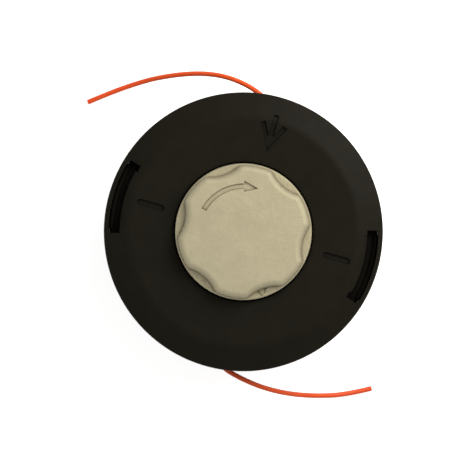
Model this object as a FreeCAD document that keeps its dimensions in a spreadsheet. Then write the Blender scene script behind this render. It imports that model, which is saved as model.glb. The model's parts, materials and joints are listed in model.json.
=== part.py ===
import FreeCAD, Part
import math
import os
import re
import Sketcher

# A two-line bump-feed head for a brush cutter, with a cast aluminium bump knob.
# Millimetres and degrees. The origin is the centre of the mounting face that goes
# against the gearbox, and +Z runs along the spin axis towards the knob.

SIZES = [
    ("flange_reach", 11.1, "housing flange beyond the drum"),
    ("skirt_wall", 2.1, "cover skirt that wraps the housing flange"),
    ("skirt_gap", 0.3, "room between the skirt and the flange"),
    ("skirt_overlap", 1.0, "how far the skirt passes below the flange"),
    ("cover_wall", 2.6, "wall of the cover"),
    ("knob_gap", 0.6, "room between the knob and the cover's hole"),
    ("hole_round", 0.6, "rounding of the edge of that hole"),
    ("dish_rise", 1.7, "rise of the cover face from its hole to the ridge"),
    ("ridge_inset", 11.7, "from the rim in to where the cover face turns down"),
    ("ridge_round", 8.0, "rounding of the ridge"),
    ("rim_drop", 3.0, "fall of the cover face from the ridge to the rim"),
    ("rim_round", 1.5, "rounding of the rim"),
    ("rim_width", 2.3, "cover left outside the latch slots"),
    ("slot_width", 5.3, "latch slot, across"),
    ("slot_span", 33.0, "latch slot, angle"),
    ("slot_angle", 164.0, "direction of one latch slot, the other is opposite"),
    ("slot_relief", 1.8, "bevel along the inner edge of a latch slot"),
    ("slot_relief_drop", 1.5, "how far that bevel falls"),
    ("slot_relief_margin", 2.2, "angle left plain at each end of that bevel"),
    ("slot_notch", 1.1, "how much wider a latch slot is at its clockwise end"),
    ("slot_notch_span", 3.2, "that wider end, angle"),
    ("latch_gap", 0.6, "room between a latch and the outside of its slot"),
    ("latch_wall", 1.6, "wall of a latch"),
    ("latch_height", 1.7, "latch above the flange"),
    ("latch_land", 0.5, "flat top of a latch"),
    ("latch_bevel", 1.2, "fall of the bevel beside that flat"),
    ("latch_side_gap", 2.0, "angle between a latch and each end of its slot"),
    ("hook_reach", 1.4, "how far a latch hooks outwards"),
    ("hook_lift", 0.4, "foot of the hook above the flange"),
    ("hook_height", 1.1, "height of the hook"),
    ("hook_room", 0.4, "room round the hook in the cover"),
    ("seat_ring_wall", 2.4, "ring under the cover that stands on the flange"),
    ("spigot_wall", 1.2, "locating edge inside the drum"),
    ("spigot_depth", 1.5, "how far the locating edge enters the drum"),
    ("spigot_gap", 0.3, "room between the locating edge and the drum"),
    ("mark_depth", 1.0, "depth of the recessed marks on the cover"),
    ("grip_mark_width", 3.0, "round-ended recess beside a latch, across"),
    ("grip_mark_length", 13.0, "that recess, along"),
    ("grip_mark_inset", 2.1, "from the ridge in to that recess"),
    ("exit_angle", 74.0, "direction of one line exit, the other is opposite"),
    ("pointer_length", 17.2, "arrow that shows a line exit"),
    ("pointer_overrun", 2.7, "how far its outer end passes the ridge"),
    ("pointer_head_length", 12.2, "its head, along"),
    ("pointer_head_half", 6.4, "half of its head, across"),
    ("pointer_stroke", 2.4, "width of its strokes"),
    ("boss_radius", 17.0, "mounting boss"),
    ("boss_height", 6.0, "mounting face to the outside of the end wall"),
    ("boss_bevel", 1.0, "bevel of the mounting boss"),
    ("end_wall", 3.0, "end wall of the housing"),
    ("collar_radius", 7.0, "collar of the nut, in the hole of the mounting boss"),
    ("collar_fit", 0.05, "room round the collar"),
    ("collar_recess", 0.3, "end of the collar behind the mounting face"),
    ("nut_floor", 3.0, "plastic under the nut"),
    ("nut_flats", 16.0, "nut across its flats"),
    ("nut_height", 11.0, "nut"),
    ("nut_bore_radius", 4.35, "core hole of the M10 x 1.25 left-hand thread"),
    ("nut_bevel", 0.7, "bevel of the nut's corners and bore"),
    ("nut_gap", 0.1, "room beside each flat of the nut"),
    ("post_radius", 12.5, "centre post that guides the spool"),
    ("post_room", 0.7, "room over the post when the knob is pressed"),
    ("post_bore_radius", 9.6, "spring chamber in the post"),
    ("drum_wall", 3.0, "side wall of the drum"),
    ("drum_draft", 0.8, "how much narrower the drum is at its end"),
    ("drum_round", 4.0, "rounding of the drum's end"),
    ("flange_thickness", 3.0, "housing flange"),
    ("flange_rise", 1.9, "flange face above the spool"),
    ("rib_count", 12, "ribs round the housing"),
    ("rib_wall", 2.0, "rib"),
    ("rib_start", 1.5, "rib foot above the mounting face, at the boss"),
    ("rib_end", 1.2, "rib height at the drum's edge"),
    ("rib_turn", 15.0, "angle from a line exit to the next rib"),
    ("gusset_depth", 9.5, "gusset under the flange, down the drum"),
    ("gusset_margin", 1.5, "flange left plain outside a gusset"),
    ("eyelet_height", 26.0, "line exit above the mounting face"),
    ("eyelet_boss_radius", 7.0, "boss round a line exit"),
    ("eyelet_boss_reach", 2.7, "boss beyond the drum's side"),
    ("eyelet_radius", 3.6, "eyelet in its hole"),
    ("eyelet_fit", 0.05, "room round the eyelet"),
    ("eyelet_flange_radius", 5.5, "eyelet's outer flange"),
    ("eyelet_flange_wall", 1.4, "eyelet's outer flange, thickness"),
    ("eyelet_bore_radius", 1.7, "line hole of the eyelet"),
    ("eyelet_flare", 1.2, "flare at both ends of the line hole"),
    ("tooth_height", 3.5, "height of every ratchet tooth"),
    ("tooth_width", 6.5, "ratchet tooth along its circle"),
    ("tooth_land", 2.0, "flat crest of a ratchet tooth"),
    ("tooth_margin", 1.2, "from the cover's hole out to the ratchet teeth"),
    ("tooth_length", 4.0, "ratchet teeth, radially"),
    ("tooth_count", 12, "ratchet teeth of the housing and of the cover"),
    ("tooth_gap", 0.4, "angle between two driving faces at rest"),
    ("tooth_crest_gap", 0.5, "room over the spool's upper teeth"),
    ("tooth_lag", 26.0, "angle between upper and lower fixed teeth"),
    ("foot_room", 0.5, "room under the spool's lower teeth when the knob is pressed"),
    ("bump_stroke", 6.0, "travel of the knob and the spool"),
    ("running_gap", 0.3, "gap between faces that slide or turn"),
    ("spool_radius", 46.0, "spool flanges"),
    ("spool_side_gap", 2.5, "room between the spool and the drum"),
    ("spool_flange", 1.6, "spool flange"),
    ("spool_core_radius", 22.0, "core that the line is wound on"),
    ("spool_core_wall", 2.4, "wall of the core"),
    ("spool_sleeve_wall", 2.2, "sleeve that slides on the post"),
    ("spool_web", 2.4, "end web that carries the knob"),
    ("spool_rib_count", 6, "ribs between sleeve and core"),
    ("spool_rib_wall", 1.8, "spool rib"),
    ("spool_tooth_count", 6, "teeth at each end of the spool"),
    ("chamber_width", 7.4, "line chamber"),
    ("line_radius", 1.2, "nylon line, half of 2.4 mm"),
    ("line_slack", 0.15, "room round the wound line"),
    ("wound_radius", 40.0, "outside of the wound line"),
    ("turns_across", 3, "turns side by side in a chamber"),
    ("seat_wall", 1.2, "spring seat washer"),
    ("seat_radius", 9.2, "spring seat washer, outside"),
    ("seat_hole_radius", 5.4, "spring seat washer, hole"),
    ("spring_radius", 8.0, "bump spring to the middle of its wire"),
    ("spring_wire_radius", 0.8, "wire of the bump spring"),
    ("spring_turns", 5.5, "turns of the bump spring"),
    ("knob_washer_wall", 1.2, "washer between the spring and the spool web"),
    ("screw_radius", 2.95, "M6 knob screw"),
    ("screw_hole_radius", 3.0, "tapped hole in the knob"),
    ("screw_clearance", 0.3, "room round the screw in washer and web"),
    ("screw_grip", 11.0, "screw inside the knob"),
    ("screw_head_radius", 5.0, "screw head"),
    ("screw_head_height", 5.0, "screw head"),
    ("screw_socket_flats", 5.0, "socket of the screw head across its flats"),
    ("screw_socket_depth", 3.0, "socket of the screw head"),
    ("knob_radius", 31.5, "knob flange"),
    ("knob_flange_rise", 4.3, "knob flange face above the edge of the cover's hole"),
    ("knob_crown", 6.5, "grip crown above the knob flange"),
    ("knob_wall", 3.0, "wall of the knob"),
    ("knob_boss_radius", 8.0, "boss for the knob screw"),
    ("knob_rib_count", 6, "ribs inside the knob"),
    ("knob_rib_wall", 2.4, "knob rib"),
    ("knob_rib_lift", 3.4, "foot of the ribs above the spool"),
    ("lobe_count", 6, "grip lobes"),
    ("flange_ledge", 1.0, "knob flange beyond the crest of the lobes"),
    ("scallop_depth", 3.2, "depth of a finger scallop"),
    ("scallop_round", 18.3, "radius of a finger scallop"),
    ("scallop_angle", 49.0, "direction of one scallop"),
    ("lobe_round", 3.4, "rounding where a scallop meets a lobe"),
    ("crown_round", 3.1, "rounding of the crown's top edge"),
    ("flange_round", 0.7, "rounding of the knob flange"),
    ("turn_mark_depth", 0.8, "depth of the curved arrow on the knob"),
    ("turn_mark_radius", 20.7, "middle of the curved arrow"),
    ("turn_mark_width", 2.4, "band of the curved arrow"),
    ("turn_mark_tail", 151.0, "direction of its tail"),
    ("turn_mark_neck", 89.0, "direction where its head begins"),
    ("turn_mark_head", 71.3, "direction of its tip"),
    ("turn_mark_barb", 2.5, "half of its head, across"),
]

# Heights and radii that follow from the sizes above.
PLACES = [
    ("inner_floor", "boss_height + end_wall"),
    ("nut_top", "nut_floor + nut_height"),
    ("housing_crest", "inner_floor + tooth_height"),
    ("spool_foot", "inner_floor + foot_room + bump_stroke"),
    ("spool_base", "spool_foot + tooth_height"),
    ("lower_chamber", "spool_base + spool_flange"),
    ("middle_flange", "lower_chamber + chamber_width"),
    ("upper_chamber", "middle_flange + spool_flange"),
    ("upper_flange", "upper_chamber + chamber_width"),
    ("spool_top", "upper_flange + spool_flange"),
    ("web_base", "spool_top - spool_web"),
    ("post_top", "web_base - bump_stroke - post_room"),
    ("sleeve_bore", "post_radius + running_gap"),
    ("cover_root", "spool_top + tooth_height + tooth_crest_gap"),
    ("cover_crest", "spool_top + running_gap"),
    ("face_height", "cover_root + cover_wall"),
    ("ridge_height", "face_height + dish_rise"),
    ("rim_height", "ridge_height - rim_drop"),
    ("flange_top", "spool_top + flange_rise"),
    ("flange_base", "flange_top - flange_thickness"),
    ("skirt_base", "flange_base - skirt_overlap"),
    ("drum_inner", "spool_radius + spool_side_gap"),
    ("drum_outer", "drum_inner + drum_wall"),
    ("flange_radius", "drum_outer + flange_reach"),
    ("skirt_inner", "flange_radius + skirt_gap"),
    ("cover_radius", "skirt_inner + skirt_wall"),
    ("ridge_radius", "cover_radius - ridge_inset"),
    ("cover_opening_radius", "knob_radius + knob_gap"),
    ("spigot_outer", "drum_inner - spigot_gap"),
    ("spigot_inner", "spigot_outer - spigot_wall"),
    ("seat_ring_outer", "drum_inner + seat_ring_wall"),
    ("slot_outer", "cover_radius - rim_width"),
    ("slot_inner", "slot_outer - slot_width"),
    ("latch_outer", "slot_outer - latch_gap"),
    ("latch_inner", "latch_outer - latch_wall"),
    ("latch_top", "flange_top + latch_height"),
    ("latch_span", "slot_span - 2 * latch_side_gap"),
    ("hook_base", "flange_top + hook_lift"),
    ("hook_top", "hook_base + hook_height"),
    ("hook_outer", "latch_outer + hook_reach"),
    ("catch_span", "latch_span + latch_side_gap"),
    ("relief_span", "slot_span - 2 * slot_relief_margin"),
    ("notch_angle", "slot_angle - slot_span / 2 + slot_notch_span / 2"),
    ("relief_start", "slot_inner - slot_relief"),
    ("relief_top", "ridge_height - rim_drop * (relief_start - ridge_radius) / ridge_inset"),
    ("pointer_tail", "ridge_radius + pointer_overrun"),
    ("pointer_tip", "pointer_tail - pointer_length"),
    ("pointer_edge", "sqrt(pointer_head_half ^ 2 + pointer_head_length ^ 2)"),
    ("pointer_barb", "pointer_tip + pointer_head_length"),
    ("barb_step_along", "pointer_stroke * pointer_head_half / pointer_edge"),
    ("barb_step_across", "pointer_stroke * pointer_head_length / pointer_edge"),
    ("pointer_half_stroke", "pointer_stroke / 2"),
    (
        "pointer_crotch",
        "pointer_barb + barb_step_along"
        " - (pointer_head_half - barb_step_across - pointer_half_stroke)"
        " * pointer_head_length / pointer_head_half",
    ),
    ("grip_mark_half", "grip_mark_width / 2"),
    ("grip_mark_end", "ridge_radius - grip_mark_inset"),
    ("grip_mark_start", "grip_mark_end - grip_mark_length"),
    ("eyelet_seat", "drum_outer + eyelet_boss_reach"),
    ("eyelet_boss_root", "drum_inner + drum_wall / 2"),
    ("eyelet_length", "eyelet_seat - drum_inner"),
    ("eyelet_hole_radius", "eyelet_radius + eyelet_fit"),
    ("eyelet_lip", "eyelet_flange_wall / 2"),
    ("nut_corner", "nut_flats / 2 / cos(30)"),
    ("nut_pocket_corner", "(nut_flats / 2 + nut_gap) / cos(30)"),
    ("nut_chamfer_start", "nut_corner - nut_bevel"),
    ("collar_hole_radius", "collar_radius + collar_fit"),
    ("tooth_start", "cover_opening_radius + tooth_margin"),
    ("spool_tooth_angle", "0 - tooth_gap"),
    ("housing_tooth_angle", "0 - tooth_gap - tooth_lag"),
    ("sleeve_outer", "sleeve_bore + spool_sleeve_wall"),
    ("core_inner", "spool_core_radius - spool_core_wall"),
    ("wound_core", "wound_radius - line_radius"),
    ("wound_pitch", "(chamber_width - 2 * line_slack) / turns_across"),
    ("wound_bead", "wound_pitch / 2"),
    ("seat_base", "nut_top + running_gap"),
    ("seat_top", "seat_base + seat_wall"),
    ("washer_base", "web_base - knob_washer_wall"),
    ("screw_hole_wide", "screw_radius + screw_clearance"),
    ("screw_head_base", "washer_base - screw_head_height"),
    ("screw_end", "spool_top + screw_grip"),
    ("screw_socket_corner", "screw_socket_flats / 2 / cos(30)"),
    ("spring_length", "washer_base - seat_top"),
    ("spring_pitch", "spring_length / spring_turns"),
    ("knob_flange", "face_height + knob_flange_rise"),
    ("knob_top", "knob_flange + knob_crown"),
    ("lobe_radius", "knob_radius - flange_ledge"),
    ("knob_cavity", "knob_radius - knob_wall"),
    ("knob_shoulder", "knob_flange - knob_wall"),
    ("crown_cavity", "lobe_radius - scallop_depth - knob_wall"),
    ("crown_ceiling", "knob_top - knob_wall"),
    ("knob_rib_foot", "spool_top + knob_rib_lift"),
    ("scallop_centre", "lobe_radius - scallop_depth + scallop_round"),
    ("turn_mark_inner", "turn_mark_radius - turn_mark_width / 2"),
    ("turn_mark_outer", "turn_mark_radius + turn_mark_width / 2"),
    ("turn_mark_span", "turn_mark_tail - turn_mark_neck"),
    ("turn_mark_middle", "(turn_mark_tail + turn_mark_neck) / 2"),
    ("turn_mark_floor", "knob_top - turn_mark_depth"),
]

# How far a feature runs into its neighbour so that the two become one solid, and how
# far a cut runs past the face that it opens.
SINK = 0.5
PAST = 1.0

# Two places nearer to each other than this are the same place.
NEAR = 0.001

owner = {}
value = {}
cuts = []

# The line ends, from inside the drum to their cut ends: first straight out of the
# eyelet, then bent back by the drag of the air, down to the surface and along it.
LINE_END_FRONT = [
    (13.2, 46.1, 26.0),
    (15.2, 53.0, 26.0),
    (13.7, 59.9, 25.9),
    (9.2, 65.4, 25.4),
    (1.9, 70.7, 23.9),
    (-9.4, 75.6, 20.4),
    (-23.2, 77.6, 14.9),
    (-40.2, 76.5, 8.4),
    (-53.1, 73.8, 3.4),
    (-67.0, 69.1, 1.4),
    (-77.3, 64.7, 1.25),
]
LINE_END_REAR = [
    (-13.2, -46.1, 26.0),
    (-15.2, -53.0, 26.0),
    (-13.7, -60.0, 25.9),
    (-9.1, -65.6, 25.4),
    (-1.4, -70.3, 23.8),
    (9.5, -75.4, 20.1),
    (22.5, -79.2, 14.0),
    (36.5, -81.1, 6.8),
    (51.3, -81.0, 2.1),
    (64.1, -78.0, 1.25),
]
ARC_SHARE = 0.45

os.makedirs("parts", exist_ok=True)
doc = FreeCAD.newDocument("TrimmerHead")


def fill_sheet():
    """Put the driving sizes into the spreadsheet, one alias each."""
    sheet = doc.addObject("Spreadsheet::Sheet", "Sizes")
    for row, (name, number, meaning) in enumerate(SIZES, start=1):
        sheet.set(f"A{row}", name)
        sheet.set(f"B{row}", str(number))
        sheet.set(f"C{row}", meaning)
        sheet.setAlias(f"B{row}", name)
        owner[name] = "Sizes"
    doc.recompute()
    for name, _, _ in SIZES:
        value[name] = float(sheet.get(name))


def fill_places():
    """Work out the places that follow from the sizes."""
    places = doc.addObject("App::VarSet", "Places")
    for name, text in PLACES:
        places.addProperty("App::PropertyFloat", name, "Places")
        places.setExpression(name, reference(text))
        owner[name] = "Places"
    doc.recompute()
    for name, _ in PLACES:
        value[name] = float(getattr(places, name))


def reference(text):
    """An expression with each named size written as the document knows it."""
    def full_name(match):
        word = match.group()
        return f"{owner[word]}.{word}" if word in owner else word
    return re.sub(r"[a-z][a-z_]*", full_name, text)


def number_of(text):
    """The value of a sum or difference of named sizes and numbers."""
    total = 0.0
    sign = 1.0
    for word in str(text).split():
        if word in ("+", "-"):
            sign = 1.0 if word == "+" else -1.0
        else:
            total += sign * (value[word] if word in value else float(word))
    return total


def coordinate(text):
    """A coordinate's starting value and its expression."""
    return number_of(text), reference(str(text))


def polar(radius, angle):
    """A plan point at a named radius and an angle, which may be named too."""
    turn = math.radians(number_of(angle))
    run = reference(str(radius))
    across = reference(str(angle))
    return (
        (number_of(radius) * math.cos(turn), f"({run}) * cos({across})"),
        (number_of(radius) * math.sin(turn), f"({run}) * sin({across})"),
    )


def new_body(name):
    """An empty body whose label names its piece."""
    body = doc.addObject("PartDesign::Body", name)
    body.Label = name
    return body


def origin_feature(body, role):
    """One of the body's own origin planes or axes."""
    return next(item for item in body.Origin.OriginFeatures if item.Role == role)


def new_sketch(body, name, plane, turn="0", lift="0", out="0"):
    """An empty sketch on an origin plane, turned about Z, lifted and moved outwards."""
    sketch = body.newObject("Sketcher::SketchObject", name)
    sketch.AttachmentSupport = (origin_feature(body, plane + "_Plane"), [""])
    sketch.MapMode = "FlatFace"
    turn_text = reference(str(turn))
    lift_text = reference(str(lift))
    out_text = reference(str(out))
    spin_axis = FreeCAD.Vector(0, 0, 1) if plane == "XY" else FreeCAD.Vector(0, 1, 0)
    sketch.AttachmentOffset = FreeCAD.Placement(
        FreeCAD.Vector(0, 0, 0), FreeCAD.Rotation(spin_axis, 1.0)
    )
    sketch.setExpression("AttachmentOffset.Rotation.Angle", turn_text)
    if plane == "XY":
        sketch.setExpression("AttachmentOffset.Base.z", lift_text)
    else:
        sketch.setExpression("AttachmentOffset.Base.x", f"({out_text}) * sin({turn_text})")
        sketch.setExpression("AttachmentOffset.Base.y", lift_text)
        sketch.setExpression("AttachmentOffset.Base.z", f"({out_text}) * cos({turn_text})")
    return sketch


def outline(body, name, plane, points, **where):
    """A closed outline of straight edges whose corners follow the named sizes."""
    sketch = new_sketch(body, name, plane, **where)
    corners = []
    for across, up in points:
        across = across if isinstance(across, tuple) else coordinate(across)
        up = up if isinstance(up, tuple) else coordinate(up)
        corners.append((across, up))
    count = len(corners)
    for index, (across, up) in enumerate(corners):
        next_across, next_up = corners[(index + 1) % count]
        start = FreeCAD.Vector(across[0], up[0], 0)
        end = FreeCAD.Vector(next_across[0], next_up[0], 0)
        sketch.addGeometry(Part.LineSegment(start, end), False)
    for index in range(count):
        sketch.addConstraint(
            Sketcher.Constraint("Coincident", index, 2, (index + 1) % count, 1)
        )
    for index, (across, up) in enumerate(corners):
        for kind, (number, text) in (("DistanceX", across), ("DistanceY", up)):
            rule = sketch.addConstraint(Sketcher.Constraint(kind, -1, 1, index, 1, number))
            sketch.setExpression(f"Constraints[{rule}]", text)
    return sketch


def circle(body, name, plane, across, up, radius, **where):
    """A circle whose centre and radius follow the named sizes."""
    sketch = new_sketch(body, name, plane, **where)
    across = across if isinstance(across, tuple) else coordinate(across)
    up = up if isinstance(up, tuple) else coordinate(up)
    centre = FreeCAD.Vector(across[0], up[0], 0)
    sketch.addGeometry(
        Part.Circle(centre, FreeCAD.Vector(0, 0, 1), number_of(radius)), False
    )
    rules = (
        (Sketcher.Constraint("DistanceX", -1, 1, 0, 3, across[0]), across[1]),
        (Sketcher.Constraint("DistanceY", -1, 1, 0, 3, up[0]), up[1]),
        (Sketcher.Constraint("Radius", 0, number_of(radius)), reference(str(radius))),
    )
    for constraint, text in rules:
        rule = sketch.addConstraint(constraint)
        sketch.setExpression(f"Constraints[{rule}]", text)
    return sketch


def keep(body, feature):
    """Make a new feature the body's result and bring the document up to date."""
    body.Tip = feature
    doc.recompute()
    return feature


def revolve(body, name, sketch, angle="360", cut=False):
    """Turn a profile about Z, all the way round or centred on its own plane."""
    kind = "PartDesign::Groove" if cut else "PartDesign::Revolution"
    before = body.Shape.Volume if cut else 0.0
    feature = body.newObject(kind, name)
    feature.Profile = sketch
    feature.ReferenceAxis = (sketch, ["V_Axis"])
    feature.Midplane = True
    feature.setExpression("Angle", reference(str(angle)))
    keep(body, feature)
    if cut:
        cuts.append((feature, before))
    return feature


def pad(body, name, sketch, length, both_ways=False, backwards=False):
    """Raise a sketch into a solid."""
    feature = body.newObject("PartDesign::Pad", name)
    feature.Profile = sketch
    feature.Midplane = both_ways
    feature.Reversed = backwards
    feature.setExpression("Length", reference(str(length)))
    return keep(body, feature)


def pocket(body, name, sketch, length, both_ways=False, backwards=False):
    """Cut a sketch into the body, against the sketch's normal unless backwards."""
    before = body.Shape.Volume
    feature = body.newObject("PartDesign::Pocket", name)
    feature.Profile = sketch
    feature.Midplane = both_ways
    feature.Reversed = backwards
    feature.setExpression("Length", reference(str(length)))
    keep(body, feature)
    cuts.append((feature, before))
    return feature


def around(body, name, feature, count):
    """Repeat a feature evenly about Z."""
    pattern = body.newObject("PartDesign::PolarPattern", name)
    pattern.Originals = [feature]
    pattern.Axis = (origin_feature(body, "Z_Axis"), [""])
    pattern.Angle = 360
    pattern.setExpression("Occurrences", reference(str(count)))
    return keep(body, pattern)


def rings(shape, radius, height):
    """The circular edges about Z at a radius and a height."""
    names = []
    for index, edge in enumerate(shape.Edges, start=1):
        curve = edge.Curve
        if not isinstance(curve, Part.Circle):
            continue
        centred = math.hypot(curve.Center.x, curve.Center.y) < NEAR
        level = abs(curve.Center.z - height) < NEAR
        if centred and level and abs(curve.Radius - radius) < NEAR:
            names.append(f"Edge{index}")
    return names


def soften(body, name, edges, radius):
    """Round the named edges of the body's latest feature."""
    feature = body.newObject("PartDesign::Fillet", name)
    feature.Base = (feature.BaseFeature, edges)
    feature.setExpression("Radius", reference(str(radius)))
    return keep(body, feature)


def ratchet(body, name, root, crest, side, turn, count):
    """A ring of teeth with an upright driving face on one side and a ramp on the other.

    The driving face lies in a radial plane. Side + puts the ramp anticlockwise of it.
    """
    land = f"{side} tooth_land"
    foot = f"{side} tooth_width"
    points = [("0", root), ("0", crest), (land, crest), (foot, root)]
    sketch = outline(body, name + "_profile", "YZ", points, turn=turn, out="tooth_start")
    tooth = pad(body, name + "_tooth", sketch, "tooth_length")
    return around(body, name + "_teeth", tooth, count)


def hexagon(body, name, corner, lift):
    """A regular hexagon with its corners at a named radius."""
    points = [polar(corner, 60 * index) for index in range(6)]
    return outline(body, name, "XY", points, lift=lift)


def upper_housing():
    """The moulded drum with its boss, post, ribs, flange, line exits and latches."""
    body = new_body("upper_housing")
    points = [
        ("collar_hole_radius", "0"),
        ("boss_radius - boss_bevel", "0"),
        ("boss_radius", "boss_bevel"),
        ("boss_radius", "boss_height"),
        ("drum_outer - drum_draft", "boss_height"),
        ("drum_outer", "flange_base"),
        ("flange_radius", "flange_base"),
        ("flange_radius", "flange_top"),
        ("drum_inner", "flange_top"),
        ("drum_inner - drum_draft", "inner_floor"),
        ("post_radius", "inner_floor"),
        ("post_radius", "post_top"),
        ("post_bore_radius", "post_top"),
        ("post_bore_radius", "nut_top"),
        ("collar_hole_radius", "nut_top"),
    ]
    revolve(body, "drum", outline(body, "drum_profile", "XZ", points))
    corner = rings(body.Shape, value["drum_outer"] - value["drum_draft"], value["boss_height"])
    soften(body, "drum_end_round", corner, "drum_round")

    end_rib = [
        (f"boss_radius - {SINK}", "rib_start"),
        (f"boss_radius - {SINK}", f"boss_height + {SINK}"),
        ("drum_outer - drum_draft - drum_round", f"boss_height + {SINK}"),
        ("drum_outer - drum_draft - drum_round", "boss_height - rib_end"),
    ]
    turn = "exit_angle + rib_turn"
    sketch = outline(body, "end_rib_profile", "XZ", end_rib, turn=turn)
    rib = pad(body, "end_rib", sketch, "rib_wall", both_ways=True)
    around(body, "end_ribs", rib, "rib_count")

    gusset = [
        (f"drum_outer - {SINK}", "flange_base - gusset_depth"),
        (f"drum_outer - {SINK}", f"flange_base + {SINK}"),
        ("flange_radius - gusset_margin", f"flange_base + {SINK}"),
        ("flange_radius - gusset_margin", "flange_base"),
    ]
    sketch = outline(body, "gusset_profile", "XZ", gusset, turn=turn)
    rib = pad(body, "gusset", sketch, "rib_wall", both_ways=True)
    around(body, "gussets", rib, "rib_count")

    place = {"turn": "exit_angle", "out": "eyelet_boss_root"}
    sketch = circle(body, "exit_boss_circle", "YZ", "0", "eyelet_height",
                    "eyelet_boss_radius", **place)
    boss = pad(body, "exit_boss", sketch, "eyelet_seat - eyelet_boss_root")
    around(body, "exit_bosses", boss, "2")
    place = {"turn": "exit_angle", "out": f"eyelet_seat + {PAST}"}
    sketch = circle(body, "exit_hole_circle", "YZ", "0", "eyelet_height",
                    "eyelet_hole_radius", **place)
    hole = pocket(body, "exit_hole", sketch, f"eyelet_length + drum_draft + 2 * {PAST}")
    around(body, "exit_holes", hole, "2")

    latch = [
        ("latch_inner", f"flange_top - {SINK}"),
        ("latch_outer", f"flange_top - {SINK}"),
        ("latch_outer", "hook_base"),
        ("hook_outer", "hook_base"),
        ("hook_outer", "hook_base + hook_lift"),
        ("latch_outer", "hook_top"),
        ("latch_outer", "latch_top"),
        ("latch_outer - latch_land", "latch_top"),
        ("latch_inner", "latch_top - latch_bevel"),
    ]
    sketch = outline(body, "latch_profile", "XZ", latch, turn="slot_angle")
    tab = revolve(body, "latch", sketch, "latch_span")
    around(body, "latches", tab, "2")

    ratchet(body, "housing", f"inner_floor - {SINK}", "housing_crest", "+",
            "housing_tooth_angle", "tooth_count")

    sketch = hexagon(body, "nut_pocket_outline", "nut_pocket_corner", "nut_top")
    pocket(body, "nut_pocket", sketch, "nut_height")
    return body


def cover_shell():
    """The moulded cover before its marks are cut."""
    body = new_body("cover_shell")
    points = [
        ("cover_opening_radius", "face_height"),
        ("ridge_radius", "ridge_height"),
        ("cover_radius", "rim_height"),
        ("cover_radius", "skirt_base"),
        ("skirt_inner", "skirt_base"),
        ("skirt_inner", "rim_height - cover_wall"),
        ("ridge_radius", "ridge_height - cover_wall"),
        ("seat_ring_outer", "ridge_height - cover_wall"),
        ("seat_ring_outer", "flange_top"),
        ("spigot_outer", "flange_top"),
        ("spigot_outer", "flange_top - spigot_depth"),
        ("spigot_inner", "flange_top - spigot_depth"),
        ("spigot_inner", "cover_root"),
        ("cover_opening_radius", "cover_root"),
    ]
    revolve(body, "shell", outline(body, "shell_profile", "XZ", points))
    soften(body, "ridge_softened",
           rings(body.Shape, value["ridge_radius"], value["ridge_height"]), "ridge_round")
    soften(body, "rim_softened",
           rings(body.Shape, value["cover_radius"], value["rim_height"]), "rim_round")
    soften(body, "hole_softened",
           rings(body.Shape, value["cover_opening_radius"], value["face_height"]), "hole_round")

    slot = [
        ("slot_inner", f"flange_top + {SINK}"),
        ("slot_outer", f"flange_top + {SINK}"),
        ("slot_outer", f"ridge_height + {PAST}"),
        ("slot_inner", f"ridge_height + {PAST}"),
    ]
    sketch = outline(body, "slot_profile", "XZ", slot, turn="slot_angle")
    around(body, "latch_slots", revolve(body, "latch_slot", sketch, "slot_span", cut=True), "2")

    notch = [
        ("slot_inner - slot_notch", f"flange_top + {SINK}"),
        (f"slot_inner + {SINK}", f"flange_top + {SINK}"),
        (f"slot_inner + {SINK}", f"ridge_height + {PAST}"),
        ("slot_inner - slot_notch", f"ridge_height + {PAST}"),
    ]
    sketch = outline(body, "notch_profile", "XZ", notch, turn="notch_angle")
    wider_end = revolve(body, "slot_notch", sketch, "slot_notch_span", cut=True)
    around(body, "slot_notches", wider_end, "2")

    relief = [
        ("relief_start", "relief_top"),
        (f"slot_inner + {SINK}", "relief_top - slot_relief_drop"),
        (f"slot_inner + {SINK}", f"ridge_height + {PAST}"),
        ("relief_start", f"ridge_height + {PAST}"),
    ]
    sketch = outline(body, "relief_profile", "XZ", relief, turn="slot_angle")
    bevel = revolve(body, "slot_bevel", sketch, "relief_span", cut=True)
    around(body, "slot_bevels", bevel, "2")

    catch = [
        (f"slot_outer - {SINK}", f"flange_top - {SINK}"),
        ("hook_outer + hook_room", f"flange_top - {SINK}"),
        ("hook_outer + hook_room", "hook_top + hook_room"),
        (f"slot_outer - {SINK}", "hook_top + hook_room"),
    ]
    sketch = outline(body, "catch_profile", "XZ", catch, turn="slot_angle")
    around(body, "latch_catches", revolve(body, "latch_catch", sketch, "catch_span", cut=True),
           "2")

    ratchet(body, "cover", f"cover_root + {SINK}", "cover_crest", "+", "0", "tooth_count")
    return body


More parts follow.
